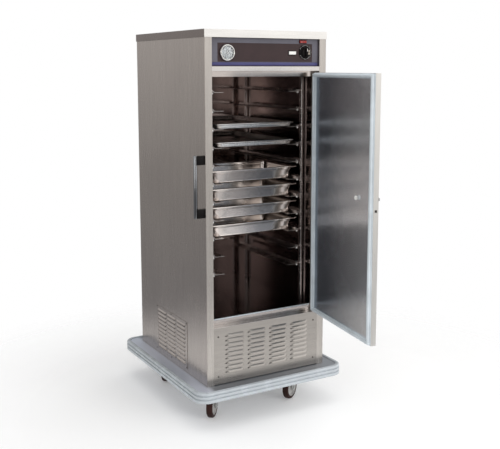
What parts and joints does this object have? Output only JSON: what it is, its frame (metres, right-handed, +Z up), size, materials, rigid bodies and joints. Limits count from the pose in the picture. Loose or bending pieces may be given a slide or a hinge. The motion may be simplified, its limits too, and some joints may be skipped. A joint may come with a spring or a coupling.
{
  "type": "proofing cabinet",
  "caption": "Mobile stainless cabinet with an open hinged door, pan slides with pans, control fascia, louvred machine bay and bumpered caster base.",
  "frame": {"origin": "on the floor, under the middle of the whole footprint with the door at its rest angle", "axes": "+X left to right across the front, +Y from front to back, +Z up"},
  "size_m": [0.846, 1.5052, 1.924],
  "materials": {
    "body_steel": "satin brushed stainless, grain running across the panels",
    "trim_steel": "bright brushed stainless",
    "lining_steel": "polished stainless that mirrors the dark chamber",
    "pan_steel": "bright drawn stainless",
    "pan_aluminium": "natural aluminium, slightly dulled",
    "caster_steel": "zinc plated pressed steel",
    "chrome": "polished chrome plate",
    "tyre": "dark red-brown cushion rubber",
    "bumper_vinyl": "blue-grey non-marking vinyl, satin",
    "gasket_vinyl": "pale blue vinyl, matt",
    "fascia": "dark brown screened panel, satin",
    "black_plastic": "black moulded plastic",
    "white_plastic": "white moulded plastic",
    "red_lens": "translucent red lamp lens",
    "heater_sheath": "heat-darkened sheath"
  },
  "bodies": {
    "cabinet": {"base_frame": "body_steel", "bumper": "bumper_vinyl", "side_panel_left": "body_steel", "side_panel_right": "body_steel", "back_panel": "body_steel", "top_cap": "trim_steel", "stile_left": "trim_steel", "stile_right": "trim_steel", "header_rail": "trim_steel", "door_sill": "trim_steel", "liner_left": "lining_steel", "liner_right": "lining_steel", "liner_back": "lining_steel", "liner_top": "lining_steel", "liner_floor": "lining_steel", "slide_rack_left": "lining_steel", "slide_rack_right": "lining_steel", "louvre_panel": "body_steel", "side_vent": "body_steel", "blower_housing": "caster_steel", "heater_element": "heater_sheath", "water_pan": "pan_steel", "power_inlet": "black_plastic", "sheet_pan_upper": "pan_aluminium", "sheet_pan_lower": "pan_aluminium", "deep_pan_1": "pan_steel", "deep_pan_2": "pan_steel", "deep_pan_3": "pan_steel", "deep_pan_4": "pan_steel", "control_fascia": "fascia", "thermometer_case": "chrome", "pilot_lamp": "red_lens", "handle_bar_left": "chrome", "handle_bar_right": "chrome", "handle_bracket_left_lower": "black_plastic", "handle_bracket_left_upper": "black_plastic", "handle_bracket_right_lower": "black_plastic", "handle_bracket_right_upper": "black_plastic", "hinge_frame_leaf_lower": "trim_steel", "hinge_frame_leaf_upper": "trim_steel"},
    "door": {"door_shell": "body_steel", "door_liner": "lining_steel", "door_gasket": "gasket_vinyl", "hinge_door_leaf_lower": "trim_steel", "hinge_door_leaf_upper": "trim_steel"},
    "latch": {"latch_lever": "trim_steel", "release_knob": "white_plastic"},
    "bolt": {"latch_bolt": "trim_steel"},
    "needle": {"thermometer_needle": "black_plastic"},
    "thermostat": {"thermostat_knob": "black_plastic"},
    "rocker": {"power_rocker": "white_plastic"},
    "blower": {"blower_wheel": "caster_steel"},
    "caster_front_left": {"caster_fork_front_left": "caster_steel"},
    "wheel_front_left": {"caster_wheel_front_left": "tyre"},
    "caster_front_right": {"caster_fork_front_right": "caster_steel"},
    "wheel_front_right": {"caster_wheel_front_right": "tyre"},
    "caster_back_left": {"caster_fork_back_left": "caster_steel"},
    "wheel_back_left": {"caster_wheel_back_left": "tyre"},
    "caster_back_right": {"caster_fork_back_right": "caster_steel"},
    "wheel_back_right": {"caster_wheel_back_right": "tyre"}
  },
  "joints": [
    {"name": "door_swing", "type": "hinge", "parent": "cabinet", "child": "door", "pos_m": [0.3026, -0.15742, 1.1], "axis": [0, 0, 1], "range_deg": [-81.8, 98]},
    {"name": "latch_turn", "type": "hinge", "parent": "door", "child": "latch", "pos_m": [0.23733, -0.61034, 1.159], "axis": [0.9898, -0.1426, 0], "range_deg": [0, 90]},
    {"name": "bolt_throw", "type": "slide", "parent": "door", "child": "bolt", "axis": [-0.1426, -0.9898, 0], "range_m": [0, 0.012]},
    {"name": "needle_sweep", "type": "hinge", "parent": "cabinet", "child": "needle", "pos_m": [-0.216, -0.13542, 1.817], "axis": [0, 1, 0], "range_deg": [0, 270]},
    {"name": "rocker_tip", "type": "hinge", "parent": "cabinet", "child": "rocker", "pos_m": [0.148, -0.13042, 1.818], "axis": [0, 0, 1], "range_deg": [0, 8]},
    {"name": "thermostat_turn", "type": "hinge", "parent": "cabinet", "child": "thermostat", "pos_m": [0.223, -0.13542, 1.822], "axis": [0, 1, 0], "range_deg": [0, 300]},
    {"name": "blower_spin", "type": "hinge", "parent": "cabinet", "child": "blower", "pos_m": [0.13, 0.32458, 0.262], "axis": [0, 0, 1], "continuous": true},
    {"name": "swivel_front_left", "type": "hinge", "parent": "cabinet", "child": "caster_front_left", "pos_m": [-0.238, -0.02042, 0.15], "axis": [0, 0, 1], "continuous": true},
    {"name": "wheel_front_left", "type": "hinge", "parent": "caster_front_left", "child": "wheel_front_left", "pos_m": [-0.26664, -0.05114, 0.0635], "axis": [0.7314, -0.682, 0], "continuous": true},
    {"name": "swivel_front_right", "type": "hinge", "parent": "cabinet", "child": "caster_front_right", "pos_m": [0.238, -0.02042, 0.15], "axis": [0, 0, 1], "continuous": true},
    {"name": "wheel_front_right", "type": "hinge", "parent": "caster_front_right", "child": "wheel_front_right", "pos_m": [0.20238, -0.04268, 0.0635], "axis": [0.5299, -0.848, 0], "continuous": true},
    {"name": "swivel_back_left", "type": "hinge", "parent": "cabinet", "child": "caster_back_left", "pos_m": [-0.238, 0.54458, 0.15], "axis": [0, 0, 1], "continuous": true},
    {"name": "wheel_back_left", "type": "hinge", "parent": "caster_back_left", "child": "wheel_back_left", "pos_m": [-0.265, 0.5124, 0.0635], "axis": [0.766, -0.6428, 0], "continuous": true},
    {"name": "swivel_back_right", "type": "hinge", "parent": "cabinet", "child": "caster_back_right", "pos_m": [0.238, 0.54458, 0.15], "axis": [0, 0, 1], "continuous": true},
    {"name": "wheel_back_right", "type": "hinge", "parent": "caster_back_right", "child": "wheel_back_right", "pos_m": [0.20583, 0.51758, 0.0635], "axis": [0.6428, -0.766, 0], "continuous": true}
  ],
  "couplings": [
    {"joint": "bolt_throw", "follows": "latch_turn", "m_per_rad": 0.0076394}
  ]
}
